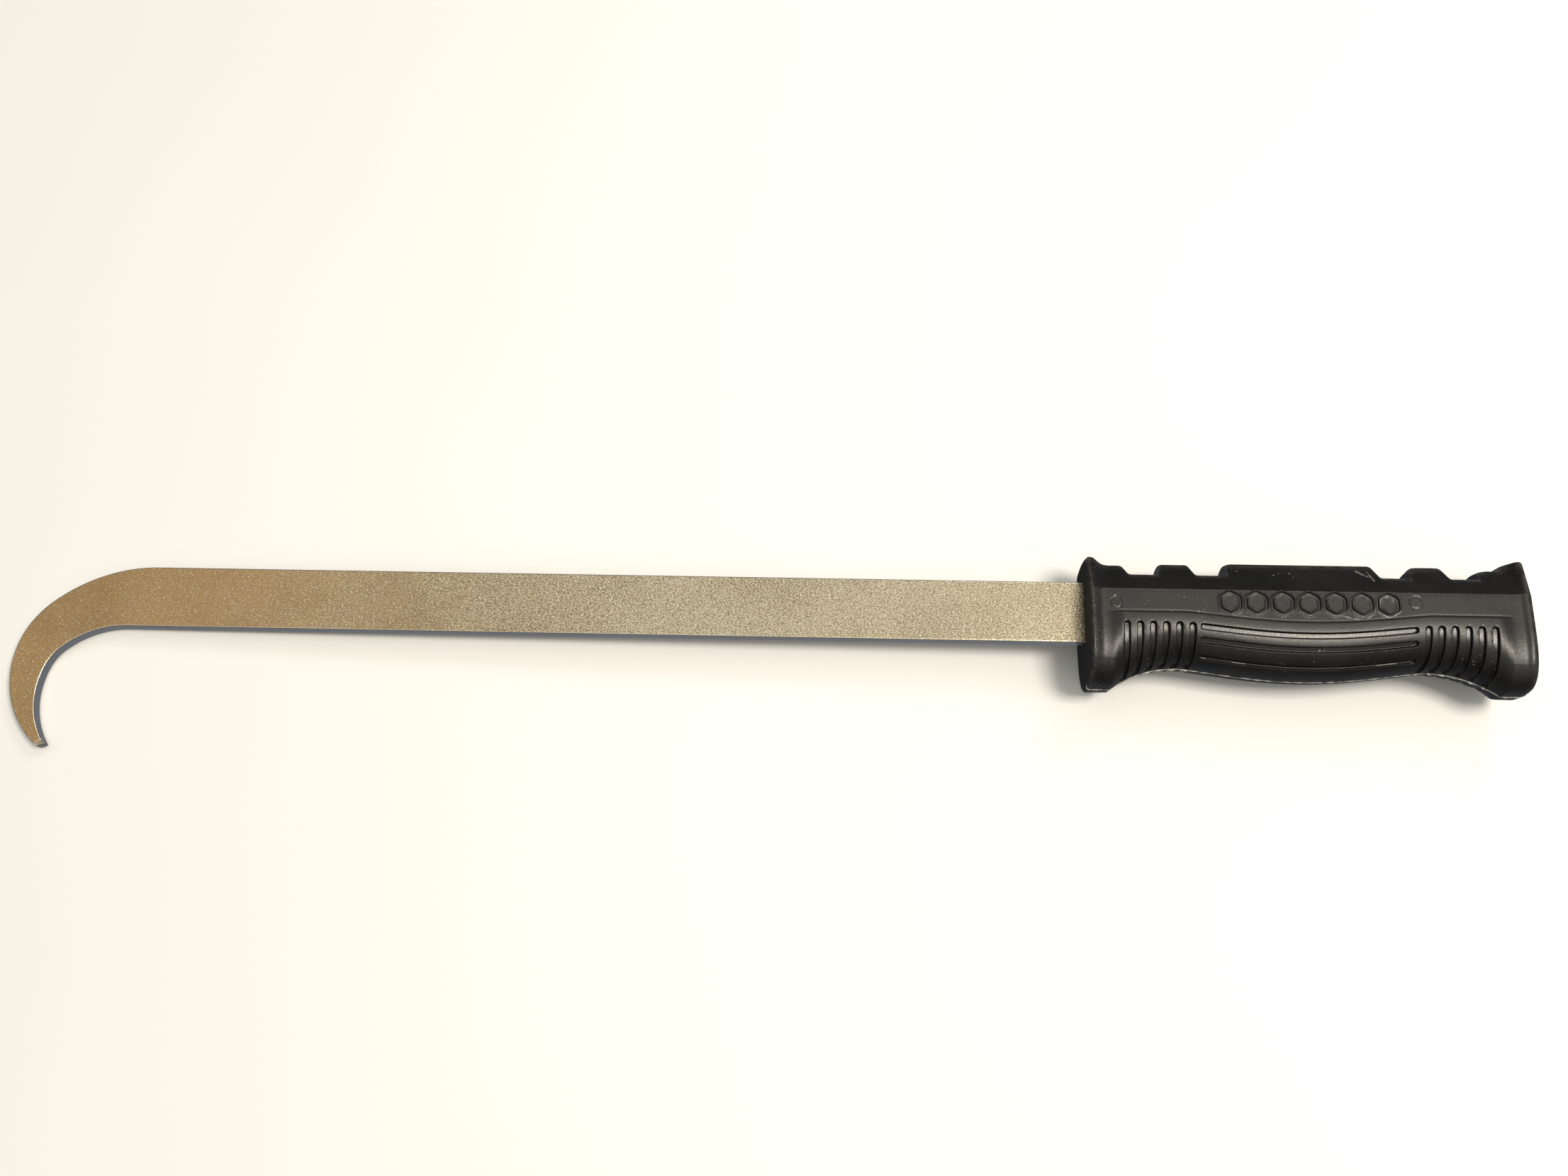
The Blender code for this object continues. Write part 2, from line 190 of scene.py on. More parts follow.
CELL_ROW_Y = 0.4 * MM
PIN_MARKS = (                   # x, y and radius of the rings that the mould's ejector pins left
    (7.9 * MM, -0.2 * MM, 1.8 * MM),
    (99.3 * MM, 1.2 * MM, 2.0 * MM),
)
PIN_MARK_STROKE = 0.25 * MM
PIN_MARK_DEPTH = 0.045 * MM
CUTTER_RISE = 0.3 * MM          # how far a cutter stands proud of the face that it cuts
CHANNEL_FLOOR = 0.45            # the share of a stroke's width at its floor
LIP_POINTS = 9
CELL_CORNER_REACH = 0.3         # of the rounding at a cell's corners, as a share of its radius

STREAK_CORE = 0.35              # the share of a streak's width at full strength
SCUFF_STREAKS = (               # start, end and width of the pale marks of knocks
    ((84.6 * MM, 13.4 * MM), (88.4 * MM, 10.2 * MM), 0.55 * MM),
    ((87.6 * MM, 13.9 * MM), (88.8 * MM, 9.4 * MM), 0.40 * MM),
    ((74.0 * MM, -3.0 * MM), (81.5 * MM, -4.6 * MM), 0.35 * MM),
    ((84.0 * MM, -4.2 * MM), (86.6 * MM, -2.6 * MM), 0.25 * MM),
    ((46.0 * MM, 14.2 * MM), (47.4 * MM, 12.6 * MM), 0.22 * MM),
)

# The mould's parting line along the finger side.
FLASH_RISE = 0.26 * MM
FLASH_WIDTH = 0.36 * MM
FLASH_BUMP = 0.3 * MM           # added where a cross groove meets the parting line
FLASH_BUMP_REACH = 0.75 * MM
FLASH_COLLAR_GAIN = 1.2         # how much wider the flash is on the collars and at a bump
FLASH_BUMP_GAIN = 0.4
FLASH_CREST = 0.25              # the share of the flash's width that stands at its full height
FLASH_WAVE = 0.35
FLASH_DRIFT = 0.12 * MM         # how far the line wanders to either side
FLASH_DRIFT_PACE = 0.6
FLASH_DRIFT_REACH = 0.5 * MM
WAVES = (                       # height, radians a metre and start of each part of an uneven wave
    (0.5, 1900, 1.3),
    (0.3, 4300, 0.4),
    (0.2, 7700, 2.1),
)

# The studio: the room's colour from straight below (0) to straight above (1), and what is seen behind.
ROOM_COLOURS = (
    (0.0, (0.17, 0.18, 0.20)),
    (0.48, (0.082, 0.085, 0.090)),
    (0.60, (0.155, 0.155, 0.152)),
    (0.93, (0.735, 0.71, 0.64)),
)
BACKDROP_COLOUR = (0.93, 0.93, 0.92)
SOFTBOXES = (                   # name, place, side, power and colour
    ("front_overhead", (0.53, -0.07, 1.10), 0.32, 9.8, (1.0, 0.92, 0.80)),
    ("back", (0.50, 0.90, 0.90), 0.35, 2.4, (1.0, 0.97, 0.93)),
)
FLOOR_REACH = 3.0
FLOOR_STEPS = 24
FLOOR_CLEARANCE = 0.1 * MM
CAMERA_PLACE = (0.02248, -0.12702, 0.45820)
CAMERA_TURNS = (18.682, 1.428, 1.482)            # degrees about X, Y and Z
CAMERA_LENS = 33.56             # millimetres, as is the sensor's width
CAMERA_SENSOR = 36.0

SOCKET_GAP = 0.1 * MM
SOCKET_LIP = 0.35 * MM          # the rounded mouth of the tang's room
LIP_FOOT = 0.8                  # shares of the lip: how deep its foot lies, and its middle's depth and flare
LIP_MIDDLE = (0.25, 0.3)
FRONT_FACE_SHARES = (0.25, 0.5, 0.75, 0.93)      # rings between the mouth and the front rim
END_FACE_SHARES = (0.93, 0.7, 0.4, 0.15)         # rings between the pommel's rim and its middle
RIM_WEAR = 0.35
FRONT_RIM_AT = 0.35 * MM
FRONT_RIM_REACH = 0.5 * MM
REAR_RIM_AT = 0.9 * MM
REAR_RIM_REACH = 1.0 * MM
STATION_STEP = 1.0 * MM
STATION_APART = 0.07 * MM
HARD_CORNER = math.radians(50)  # the smallest turn between faces that is shaded as a corner
REACH_LIMIT = 0.48              # the largest share of a line's side that the rounding of a corner takes
SLANT_LIMIT = 0.45              # the same for the section's corners


def ease(x, start, end):
    """Goes smoothly from 0 at start to 1 at end."""
    part = np.clip((x - start) / (end - start), 0.0, 1.0)
    return part * part * (3 - 2 * part)


def swell(x, middle, reach):
    """A smooth hump that is 1 in its middle and falls to about a third at its reach."""
    return np.exp(-(((x - middle) / reach) ** 2))


def spread(low, high, count):
    """Evenly spaced values strictly between low and high."""
    return low + (high - low) * np.arange(1, count + 1) / (count + 1)


def rounded(corners, reaches, steps=5):
    """The line through corners, with each inner one rounded from its reach before it to its reach after."""
    corners = np.array(corners, float)
    points = [corners[0]]
    for before, corner, after, reach in zip(corners, corners[1:], corners[2:], reaches):
        back = before - corner
        ahead = after - corner
        start = corner + back * min(reach / np.linalg.norm(back), REACH_LIMIT)
        end = corner + ahead * min(reach / np.linalg.norm(ahead), REACH_LIMIT)
        for part in np.linspace(0.0, 1.0, steps + 1):
            points.append((1 - part) ** 2 * start + 2 * part * (1 - part) * corner + part**2 * end)
    points.append(corners[-1])
    return np.array(points)


def ring_faces(ring_count, around, closed=False):
    """Quads that join each ring of points to the next one, and the last to the first if closed."""
    faces = []
    for ring in range(ring_count if closed else ring_count - 1):
        low = ring * around
        high = (ring + 1) % ring_count * around
        for here in range(around):
            after = (here + 1) % around
            faces.append((low + here, low + after, high + after, high + here))
    return faces


def capped_skin(rings):
    """Points and faces of the closed solid whose cross-sections are the given rings."""
    points = np.concatenate(rings)
    around = len(rings[0])
    faces = ring_faces(len(rings), around)
    faces.append(tuple(range(around))[::-1])
    faces.append(tuple(range(len(points) - around, len(points))))
    return points, faces


def make_piece(name, points, faces, attributes=None):
    """An object with its points moved into the row frame, and with a value per point for each attribute."""
    mesh = bpy.data.meshes.new(name)
    mesh.from_pydata([tuple(point) for point in np.asarray(points) + np.array(ORIGIN)], [], faces)
    for key, values in (attributes or {}).items():
        mesh.attributes.new(key, "FLOAT", "POINT").data.foreach_set("value", np.ravel(values))
    made = bpy.data.objects.new(name, mesh)
    bpy.context.scene.collection.objects.link(made)
    return made


def boolean(target, cutter, operation):
    modifier = target.modifiers.new(cutter.name, "BOOLEAN")
    modifier.operation = operation
    modifier.solver = "EXACT"
    modifier.object = cutter


def settle(piece, *used):
    """Applies the piece's modifiers, removes what they used, and shades it smooth with hard corners."""
    depsgraph = bpy.context.evaluated_depsgraph_get()
    made = bpy.data.meshes.new_from_object(piece.evaluated_get(depsgraph))
    made.name = piece.name
    piece.modifiers.clear()
    piece.data = made
    for other in used:
        bpy.data.objects.remove(other)
    made.shade_smooth()
    made.set_sharp_from_angle(angle=HARD_CORNER)
    weighted = piece.modifiers.new("flat_normals", "WEIGHTED_NORMAL")
    weighted.keep_sharp = True


def cylinder(name, places, radius, half_height, sides=40):
    """Upright round solids at several places along the bar's centreline, as one object."""
    points = []
    faces = []
    angles = np.linspace(0, 2 * math.pi, sides, endpoint=False)
    for place in places:
        rings = [
            np.stack([place + radius * np.cos(angles), radius * np.sin(angles), np.full(sides, height)], 1)
            for height in (-half_height, half_height)
        ]
        made, quads = capped_skin(rings)
        faces += [tuple(corner + len(points) for corner in quad) for quad in quads]
        points += list(made)
    return make_piece(name, points, faces)


# The steel bar.


def bent_edge(start, bends, lead):
    """Points along a bar's edge: a straight lead to start towards -X, and then its arcs towards -Y."""
    place = np.array(start)
    heading = 0.0
    points = [place + np.array((lead, 0.0)), place]
    for radius, turn in bends:
        steps = STEPS_PER_DEGREE * turn
        half_step = math.radians(turn / steps) / 2
        chord = 2 * radius * math.sin(half_step)
        for _ in range(steps):
            heading += half_step
            place = place - chord * np.array((math.cos(heading), math.sin(heading)))
            heading += half_step
            points.append(place)
    return np.array(points)


def resample(points, shares):
    """Points at shares of a line's length."""
    steps = np.linalg.norm(np.diff(points, axis=0), axis=1)
    run = np.concatenate([[0.0], np.cumsum(steps)])
    return np.stack([np.interp(shares * run[-1], run, points[:, axis]) for axis in range(2)], 1)


def bar_edges():
    """Matching points along the bar's outer and inner edges, from the tang's end to the hook's tip."""
    half = BAR_WIDTH / 2
    shares = np.sin(np.linspace(0, 1, HOOK_STATIONS) * math.pi / 2) ** TIP_CROWDING
    outer = resample(bent_edge((-SHANK_LENGTH, half), OUTER_BENDS, 0.0), shares)
    inner = resample(bent_edge((-SHANK_LENGTH - INNER_START, -half), INNER_BENDS, INNER_START), shares)
    xs = np.linspace(TANG_LENGTH - TANG_CORNER, -SHANK_LENGTH, SHANK_STATIONS, endpoint=False)
    straight = np.stack([xs, np.full_like(xs, half)], 1)
    end = np.array([[TANG_LENGTH, half - TANG_CORNER]])
    mirror = np.array((1, -1))
    outer = np.concatenate([end, straight, outer])
    inner = np.concatenate([end * mirror, straight * mirror, inner])
    return outer, inner


def bar_profile():
    """One edge of the bar's section, from its upper face round to its lower one.

    Each row is the distance in from the edge, the height, and how worn and how much cut side it is.
    """
    radius = EDGE_RADIUS
    rows = [(radius + WEAR_REACH, BAR_HALF, 0.0, 0.0)]
    for step in range(EDGE_STEPS + 1):
        angle = math.pi / 2 * (1 - step / EDGE_STEPS)
        away = radius * (1 - math.cos(angle))
        height = BAR_HALF - radius * (1 - math.sin(angle))
        rows.append((away, height, 1.0 if step == 1 else 0.0, step / EDGE_STEPS))
    rows.append((0.0, BAR_HALF - radius - WEAR_REACH, 0.0, 1.0))
    lower = [(away, -height, wear, side) for away, height, wear, side in reversed(rows)]
    return rows + lower


def make_bar():
    outer, inner = bar_edges()
    across = inner - outer
    width = np.linalg.norm(across, axis=1, keepdims=True)
    across = across / width
    middle = (outer + inner) / 2
    run = np.concatenate([[0.0], np.cumsum(np.linalg.norm(np.diff(middle, axis=0), axis=1))])
    from_tip = (run[-1] - run)[:, None]
    profile = np.array(bar_profile())
    columns = []
    for away, height, wear, side in profile:
        columns.append((np.minimum(away, width * EDGE_LIMIT), height, wear, side))
    for share in FACE_SHARES:
        columns.append((width * share, -BAR_HALF, 0.0, 0.0))
    for away, height, wear, side in profile[::-1]:
        columns.append((width - np.minimum(away, width * EDGE_LIMIT), height, wear, side))
    for share in FACE_SHARES:
        columns.append((width * (1 - share), BAR_HALF, 0.0, 0.0))
    rings = []
    wears = []
    sides = []
    for away, height, wear, side in columns:
        away = np.broadcast_to(away, width.shape)
        flat = outer + across * away
        facet = BAR_HALF - FACET_SLOPE * (FACET_LENGTH - from_tip + FACET_SKEW * (away - width / 2))
        level = np.minimum(height, facet)
        rings.append(np.concatenate([flat, level], axis=1))
        ground = (facet < height).astype(float)
        wears.append(np.maximum(ground[:, 0], wear))
        sides.append(np.full(len(flat), side))
    rings = np.array(rings).transpose(1, 0, 2)
    around = rings.shape[1]
    nose = rings[-1].mean(axis=0)
    heading = np.append((middle[-1] - middle[-2]) / np.linalg.norm(middle[-1] - middle[-2]), 0.0)
    tip = nose + (rings[-1] - nose) * TIP_SHARE + heading * TIP_RUN
    points, faces = capped_skin(list(rings[:, ::-1]) + [tip[::-1]])
    wear = np.concatenate([np.array(wears).T[:, ::-1].ravel(), np.ones(around)])
    side = np.concatenate([np.array(sides).T[:, ::-1].ravel(), np.ones(around)])
    along = np.concatenate([np.repeat(run, around), np.full(around, run[-1])])
    bar = make_piece("steel_hook_bar", points, faces, {"wear": wear, "cut_side": side, "run": along})
    holes = cylinder("key_holes", KEY_HOLE_PLACES, KEY_HOLE_RADIUS, 2 * BAR_HALF)
    boolean(bar, holes, "DIFFERENCE")
    settle(bar, holes)
    return bar


# The grip.


def belly(x):
    """0 up to the front waist and beyond the rear one, 1 at the fullest point between them."""
    part = np.clip((x - FRONT_WAIST) / (REAR_WAIST - FRONT_WAIST), 0.0, 1.0)
    return np.sin(np.pi * part).clip(0) ** BELLY_SHARPNESS


def collar(x):
    """1 at either end collar and 0 between them."""
    front = 1 - ease(x, FRONT_COLLAR - COLLAR_BLEND / 2, FRONT_COLLAR + COLLAR_BLEND)
    return front + ease(x, REAR_COLLAR - COLLAR_BLEND, REAR_COLLAR + COLLAR_BLEND / 2)


def finger_depth(x):
    """How far the finger side lies below the bar's centreline."""
    front = np.clip((FRONT_WAIST - x) / (FRONT_WAIST - FRONT_COLLAR), 0.0, 1.0) ** FRONT_SWEEP
    rear = np.clip((x - REAR_WAIST) / (REAR_COLLAR - REAR_WAIST), 0.0, 1.0) ** REAR_SWEEP
    return WAIST_DEPTH + (COLLAR_DEPTH - WAIST_DEPTH) * (front + rear) + BELLY_DEPTH * belly(x)


def spine_line():
    """The spine's outline from the front face to the pommel, as (x, height) points."""
    corners = [(0.0, FRONT_PEAK), (PEAK_RUN, FRONT_PEAK)]
    corners += [(PEAK_RUN + PEAK_SLOPE_RUN, END_HEIGHT), (FIRST_NOTCH, END_HEIGHT)]
    corners.append((FIRST_NOTCH + BLOCK_RAMP, NOTCH_HEIGHT))
    reaches = [RAMP_REACH, RAMP_REACH, RAMP_REACH, RAMP_REACH]
    for start, end, height, lean_run, lean_rise in BLOCKS:
        corners += [(start, NOTCH_HEIGHT), (start + BLOCK_WALL, height - lean_rise)]
        corners += [(start + lean_run, height), (end, height), (end + BLOCK_RAMP, NOTCH_HEIGHT)]
        reaches += [WALL_REACH, WALL_REACH, LEAN_REACH, RAMP_REACH, RAMP_REACH]
    corners.append((LAST_NOTCH_END, NOTCH_HEIGHT))
    corners.append((LAST_NOTCH_END + BLOCK_WALL, END_HEIGHT - END_LEAN_RISE))
    corners.append((LAST_NOTCH_END + END_LEAN_RUN, END_HEIGHT))
    corners.append((GRIP_LENGTH - PEAK_RUN - PEAK_SLOPE_RUN, END_HEIGHT))
    corners += [(GRIP_LENGTH - PEAK_RUN, REAR_PEAK), (GRIP_LENGTH, REAR_PEAK)]
    reaches += [WALL_REACH, WALL_REACH, LEAN_REACH, RAMP_REACH, RAMP_REACH]
    return rounded(corners, reaches)


def cross_places():
    return [start + CROSS_PITCH * step for start in CROSS_STARTS for step in range(CROSS_COUNT)]


def groove_offsets():
    """Where points lie across a groove, dense on its walls."""
    half = GROOVE_WIDTH / 2
    side = [half - GROOVE_WALL + row for row in GROOVE_FOOT_ROWS]
    side += [half + row for row in GROOVE_TOP_ROWS]
    return np.array([-place for place in reversed(side)] + [0.0] + side)


def stations(line):
    """Where along the grip a section is drawn: dense at the spine's corners, grooves and ends."""
    fixed = list(line[:, 0])
    offsets = groove_offsets()
    fixed += [place + offset for place in cross_places() for offset in offsets]
    reach = GROOVE_WIDTH / 2
    middle = len(offsets) // 2
    fixed += [LONG_START + reach + offset for offset in offsets[:middle]]
    fixed += [LONG_END - reach + offset for offset in offsets[middle + 1 :]]
    fixed += list(FRONT_ROUNDING * (1 - np.cos(np.linspace(0, math.pi / 2, FRONT_RINGS))))
    fixed += list(GRIP_LENGTH - POMMEL_ROUNDING * (1 - np.sin(np.linspace(0, math.pi / 2, POMMEL_RINGS))))
    fixed += list(np.arange(0, GRIP_LENGTH, STATION_STEP))
    kept = []
    for x in sorted(fixed):
        if 0 <= x <= GRIP_LENGTH and (not kept or x - kept[-1] > STATION_APART):
            kept.append(x)
    kept[-1] = GRIP_LENGTH
    return np.array(kept)


def quarter_round(distance, radius):
    """How much a rounded edge takes off at a distance from the end."""
    inside = np.clip(radius - distance, 0.0, radius)
    return radius - np.sqrt(radius**2 - inside**2)


def bezier(start, corner, end, steps):
    """Points (y, z) of a rounded corner for every station, as a list of columns."""
    parts = np.linspace(0.0, 1.0, steps + 1)
    return [
        tuple((1 - p) ** 2 * a + 2 * p * (1 - p) * b + p**2 * c for a, b, c in zip(start, corner, end))
        for p in parts
    ]


def towards(start, end, distance):
    """The point at a distance from start on the way to end."""
    away = (end[0] - start[0], end[1] - start[1])
    length = np.hypot(*away)
    share = np.minimum(distance / length, SLANT_LIMIT)
    return (start[0] + away[0] * share, start[1] + away[1] * share)


def upper_rows(x, line, side, fold, pad):
    """The section's rows from the spine's middle down to the fold, each as (y, z, wear)."""
    rear = quarter_round(GRIP_LENGTH - x, POMMEL_ROUNDING)
    top = np.interp(x, line[:, 0], line[:, 1]) - quarter_round(x, FRONT_ROUNDING)
    top = top - POMMEL_DEPTH_SHARE * rear
    near_end = np.maximum(
        1 - ease(x, PEAK_RUN / 2, 2 * PEAK_RUN), ease(x, GRIP_LENGTH - 2 * PEAK_RUN, GRIP_LENGTH)
    )
    slope = SPINE_SLOPE + (COLLAR_SLOPE - SPINE_SLOPE) * near_end
    slope = slope - POMMEL_SQUARING * ease(x, GRIP_LENGTH - POMMEL_ROUNDING, GRIP_LENGTH)
    corner = (top, side - slope * (top - SHOULDER_Y))
    shoulder = (np.full_like(x, SHOULDER_Y), side)
    flat_end = (fold + FOLD_RUN, side)
    crown_end = (top, corner[1] - SPINE_REACH)
    rows = []
    for share in np.linspace(0.0, 1.0, CROWN_ROWS, endpoint=False):
        rows.append((top + SPINE_CROWN * (1 - share**2), crown_end[1] * share, 0.0))
    edge = bezier(crown_end, corner, towards(corner, shoulder, SPINE_REACH), EDGE_ROWS)
    for step, (y, z) in enumerate(edge):
        rows.append((y, z, 1.0 if 1 < step < EDGE_ROWS - 1 else EDGE_END_WEAR))
    slant_start = edge[-1]
    slant_end = towards(shoulder, corner, SHOULDER_REACH)
    for share in spread(0.0, 1.0, SLANT_ROWS):
        y = slant_start[0] + (slant_end[0] - slant_start[0]) * share
        z = slant_start[1] + (slant_end[1] - slant_start[1]) * share
        rows.append((y, z, 0.0))
    bend = bezier(slant_end, shoulder, (shoulder[0] - SHOULDER_REACH, side), SHOULDER_ROWS)
    for step, (y, z) in enumerate(bend):
        rows.append((y, z, SHOULDER_WEAR if step == SHOULDER_ROWS // 2 else 0.0))
    flat_start = bend[-1]
    crease_start = flat_end[0] + ABOVE_FOLD[0][0]
    for share in spread(0.0, 1.0, FLAT_ROWS):
        rows.append((flat_start[0] + (crease_start - flat_start[0]) * share, side, 0.0))
    crease = CREASE_DEPTH * (1 - collar(x))
    rise = pad - side
    for before, depth in ABOVE_FOLD:
        rows.append((flat_end[0] + before, side - crease * depth, 0.0))
    for below, depth, up in BELOW_FOLD:
        rows.append((flat_end[0] - below * FOLD_RUN, side - crease * depth + rise * up, 0.0))
    return rows


def groove_fill(away):
    """How deep a groove is, from 0 to 1, at a distance outside (+) or inside (-) its outline."""
    return 1 - ease(away, GROOVE_LIP - GROOVE_WALL, GROOVE_LIP)


def groove_wear(fill):
    """How rubbed a groove's upper edge is, from how deep in the groove each point lies."""
    return GROOVE_WEAR * swell(fill, GROOVE_WEAR_AT, GROOVE_WEAR_REACH) * (fill > GROOVE_BEGINS)


def pad_columns(x, fold, depth, pad, power):
    """One station's pad from the fold to the parting line: y, z and how deep in a groove each point is."""
    turn = np.linspace(0.0, math.pi / 2, PAD_CURVE_STEPS)
    ys = fold - depth * np.sin(turn) ** (2 / power)
    zs = pad * np.abs(np.cos(turn)) ** (2 / power)
    run = np.concatenate([[0.0], np.cumsum(np.hypot(np.diff(ys), np.diff(zs)))])
    drops = np.array(LONG_DROPS) * min(depth, LONG_PAD_DEPTH)
    first, second, third = np.interp(drops, fold - ys, run)
    offsets = groove_offsets()
    reach = offsets[-1]
    marks = [PAD_TOP_ROWS, first + offsets]
    marks += [spread(first + reach, second - reach, 2), second + offsets]
    marks += [spread(second + reach, third - reach, 2), third + offsets]
    near_flash = np.interp(PAD_END_ROWS, zs[::-1], run[::-1])
    marks.append(spread(third + reach, near_flash[0], 7))
    marks.append(near_flash)
    places = np.concatenate(marks)
    y = np.interp(places, run, ys)
    z = np.interp(places, run, zs)
    away = np.full(len(places), 1.0)
    radius = GROOVE_WIDTH / 2
    if LONG_START <= x + radius and x - radius <= LONG_END:
        beyond = max(LONG_START + radius - x, x - LONG_END + radius, 0.0)
        for centre in (first, second, third):
            away = np.minimum(away, np.hypot(places - centre, beyond) - radius)
    top = np.interp(CROSS_TOP, fold - ys, run) + radius
    aside = min(abs(x - place) for place in cross_places())
    away = np.minimum(away, np.hypot(np.maximum(top - places, 0.0), aside) - radius)
    return y, z, groove_fill(away)


def wobble(x):
    """A slow uneven wave between about -1 and 1."""
    return sum(height * np.sin(pace * x + start) for height, pace, start in WAVES)


def flash_rows(x, z):
    """How far the parting line stands out at heights z from it."""
    bump = sum(swell(x, place, FLASH_BUMP_REACH) for place in cross_places())
    thick = FLASH_WIDTH * (1 + FLASH_COLLAR_GAIN * collar(x) + FLASH_BUMP_GAIN * bump)
    ridge = 1 - ease(z, FLASH_CREST * thick, thick)
    return ridge * (FLASH_RISE * (1 + FLASH_WAVE * wobble(x)) + FLASH_BUMP * bump)


def grip_half():
    """The near half of the grip as arrays by station and row: y, z and the attributes."""
    line = spine_line()
    xs = stations(line)
    front = quarter_round(xs, FRONT_ROUNDING)
    rear = quarter_round(GRIP_LENGTH - xs, POMMEL_ROUNDING)
    fold = -FOLD_Y - FOLD_BELLY * belly(xs)
    depth = fold + finger_depth(xs) - front - POMMEL_DEPTH_SHARE * rear
    flare = np.maximum(1 - ease(xs, 0.0, FLARE_RUN), ease(xs, GRIP_LENGTH - FLARE_RUN, GRIP_LENGTH))
    side = SIDE + COLLAR_FLARE * flare - front - rear
    pad = side + PAD_RISE * (1 - collar(xs))
    power = PAD_ROUNDNESS + (COLLAR_ROUNDNESS - PAD_ROUNDNESS) * collar(xs)
    rows = upper_rows(xs, line, side, fold, pad)
    upper_y = np.stack([row[0] for row in rows], 1)
    upper_z = np.stack([row[1] for row in rows], 1)
    upper_wear = np.stack([np.full_like(xs, row[2]) for row in rows], 1)
    lower = [pad_columns(*values) for values in zip(xs, fold, depth, pad, power)]
    pad_y, pad_z, fill = (np.stack(parts) for parts in zip(*lower))
    along = np.stack([np.gradient(pad_y, axis=1), np.gradient(pad_z, axis=1)], 2)
    along /= np.linalg.norm(along, axis=2, keepdims=True)
    closing = ease(pad_z, *GROOVE_FADE)
    flash = flash_rows(xs[:, None], pad_z)
    lift = flash - GROOVE_DEPTH * fill * closing
    pad_y = pad_y + lift * along[..., 1]
    pad_z = pad_z - lift * along[..., 0]
    pad_z[:, -1] = 0.0
    # How much dirt, which makes them rougher, and painted shade the crease's rows get.
    crease = np.zeros_like(upper_y)
    crease[:, -len(CREASE_DIRT_AND_SHADE) :] = ((1 - collar(xs))[:, None]) * np.array(CREASE_DIRT_AND_SHADE)
    attributes = {
        "wear": np.concatenate([upper_wear, groove_wear(fill)], 1),
        "groove": np.concatenate([0 * upper_y, fill * closing], 1),
        "flash": np.concatenate([0 * upper_y, np.clip(flash / FLASH_RISE, 0.0, 1.0)], 1),
        "crease": np.concatenate([crease, 0 * pad_y], 1),
    }
    return xs, np.concatenate([upper_y, pad_y], 1), np.concatenate([upper_z, pad_z], 1), attributes


def socket_ring(outline, x, grow):
    """A ring round the tang, with one point towards each point of an outline (y, z)."""
    half_width = BAR_WIDTH / 2 + SOCKET_GAP + grow
    half_height = BAR_HALF + SOCKET_GAP + grow
    reach = np.maximum(np.abs(outline[:, 0]) / half_width, np.abs(outline[:, 1]) / half_height)
    inner = outline / reach[:, None]
    return np.column_stack([np.full(len(inner), x), inner])


def whole_ring(half):
    """Values on one whole section, from those on its near half."""
    return np.concatenate([half, half[..., -2:0:-1]], axis=-1)


def rim_wear(x):
    """How rubbed the grip's two end rims are."""
    front = swell(x, FRONT_RIM_AT, FRONT_RIM_REACH)
    rear = swell(x, GRIP_LENGTH - REAR_RIM_AT, REAR_RIM_REACH)
    return RIM_WEAR * (front + rear)


def grip_solid():
    xs, y, z, attributes = grip_half()
    ys = whole_ring(y)
    zs = np.concatenate([z, -z[:, -2:0:-1]], axis=1)
    drift = FLASH_DRIFT * wobble(FLASH_DRIFT_PACE * xs)[:, None] * swell(zs, 0.0, FLASH_DRIFT_REACH)
    zs = zs + drift * (ys < 0)
    skin = [np.column_stack([np.full(ys.shape[1], x), ys[i], zs[i]]) for i, x in enumerate(xs)]
    first = skin[0][:, 1:]
    lip = SOCKET_LIP
    mouth = socket_ring(first, 0.0, lip)
    inside = [
        socket_ring(first, TANG_LENGTH + SOCKET_GAP, 0.0),
        socket_ring(first, LIP_FOOT * lip, 0.0),
        socket_ring(first, LIP_MIDDLE[0] * lip, LIP_MIDDLE[1] * lip),
        mouth,
    ]
    face = [mouth + (skin[0] - mouth) * share for share in FRONT_FACE_SHARES]
    last = skin[-1]
    hub = np.array((GRIP_LENGTH, last[:, 1].mean(), 0.0))
    end = [hub + (last - hub) * share for share in END_FACE_SHARES]
    rings = inside + face + skin + end
    points, faces = capped_skin(rings)
    before = len(inside) + len(face)
    padded = {}
    for key, values in attributes.items():
        whole = whole_ring(values)
        blank = np.zeros((1, whole.shape[1]))
        padded[key] = np.concatenate([np.repeat(blank, before, 0), whole, np.repeat(blank, len(end), 0)])
    padded["wear"][before : before + len(xs)] += rim_wear(xs)[:, None]
    return points, faces, padded


def stroke_solids(shape, marks, section, face):
    """Closed outlines drawn with a stroke of one section, on the near (face 1) or far (-1) flat side.

    The shape is a closed outline whose sides lie 1 from its middle, marks are (x, y, radius), and the
    section is points (distance outside the outline, height above the flat side).
    """
    points = []
    faces = []
    for x, y, radius in marks:
        rings = []
        for away, height in section:
            flat = shape * (radius + away) + np.array((x, y))
            rings.append(np.column_stack([flat, np.full(len(flat), face * (SIDE + height))]))
        quads = ring_faces(len(rings), len(shape), closed=True)
        if face > 0:
            quads = [quad[::-1] for quad in quads]
        faces += [tuple(corner + len(points) for corner in quad) for quad in quads]
        points += list(np.concatenate(rings))
    return points, faces


def channel_section(width, depth):
    """The section of a cutter for a groove with a narrower flat floor."""
    half = width / 2
    right = [(half, CUTTER_RISE), (half, 0.0), (CHANNEL_FLOOR * half, -depth)]
    return right + [(-away, height) for away, height in reversed(right)]


def lip_section(width, lip, height):
    """The section of a low rounded swelling on both sides of a stroke."""
    half = width / 2 + lip
    turns = np.linspace(0, math.pi, LIP_POINTS)
    over = [(-half * math.cos(turn), height * math.sin(turn)) for turn in turns]
    return over + [(half, -CUTTER_RISE), (-half, -CUTTER_RISE)]


